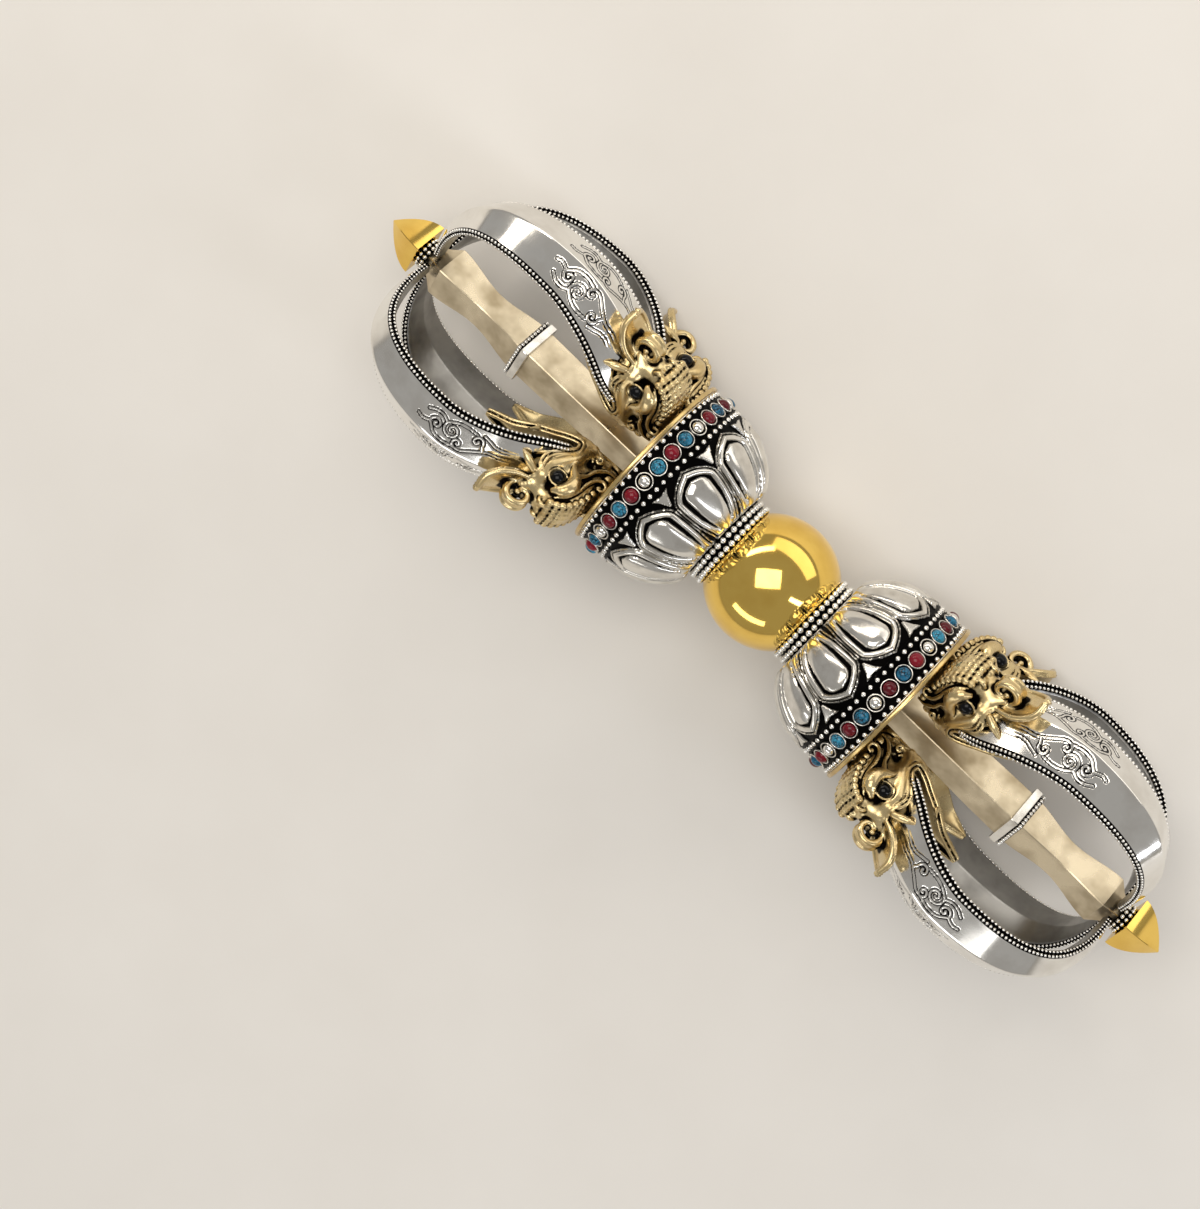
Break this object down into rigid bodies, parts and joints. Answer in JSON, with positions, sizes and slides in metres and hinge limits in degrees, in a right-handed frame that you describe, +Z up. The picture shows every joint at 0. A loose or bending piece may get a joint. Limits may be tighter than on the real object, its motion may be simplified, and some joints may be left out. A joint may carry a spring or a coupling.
{
  "type": "dorje vajra",
  "caption": "Ritual sceptre with two cages of curved prongs held in makara mouths, lotus cups with a jewelled band and a polished ball grip",
  "frame": {"origin": "on the table under the middle of the ball, at the bottom centre of the bounding box", "axes": "+X along the dorje to its right end, +Z up from the table, prongs at 45 degrees to Z"},
  "size_m": [0.2134, 0.0526, 0.0526],
  "materials": {
    "polished_brass": "mirror polished, gold coloured",
    "antique_brass": "cast, dark patina in the recesses, polished on high places",
    "bright_silver": "polished silver plate",
    "oxidised_silver": "blackened silver ground",
    "chased_silver": "polished high places, blackened grooves",
    "prong_silver": "polished outside, satin grey inside",
    "satin_silver": "satin, lightly tarnished",
    "steel_rod": "threaded steel",
    "turquoise": "polished cabochon with dark veins",
    "coral": "polished red cabochon",
    "onyx": "polished black bead"
  },
  "bodies": {
    "root": {"hub_ball": "polished_brass", "tie_rod": "steel_rod", "bead_collar_left": "oxidised_silver", "lotus_cup_left": "chased_silver", "gem_band_left": "oxidised_silver", "bezels_left": "bright_silver", "turquoise_left": "turquoise", "coral_left": "coral", "silver_studs_left": "bright_silver", "end_plate_left": "antique_brass", "granules_left": "bright_silver", "spike_left": "satin_silver", "spike_knop_left": "bright_silver", "tip_collar_left": "oxidised_silver", "finial_left": "polished_brass", "eyes_left": "onyx", "prong_left_1": "prong_silver", "prong_left_2": "prong_silver", "prong_left_3": "prong_silver", "prong_left_4": "prong_silver", "makara_left_1": "antique_brass", "makara_left_2": "antique_brass", "makara_left_3": "antique_brass", "makara_left_4": "antique_brass", "bead_collar_right": "oxidised_silver", "lotus_cup_right": "chased_silver", "gem_band_right": "oxidised_silver", "bezels_right": "bright_silver", "turquoise_right": "turquoise", "coral_right": "coral", "silver_studs_right": "bright_silver", "end_plate_right": "antique_brass", "granules_right": "bright_silver", "spike_right": "satin_silver", "spike_knop_right": "bright_silver", "tip_collar_right": "oxidised_silver", "finial_right": "polished_brass", "eyes_right": "onyx", "prong_right_1": "prong_silver", "prong_right_2": "prong_silver", "prong_right_3": "prong_silver", "prong_right_4": "prong_silver", "makara_right_1": "antique_brass", "makara_right_2": "antique_brass", "makara_right_3": "antique_brass", "makara_right_4": "antique_brass"}
  },
  "joints": []
}
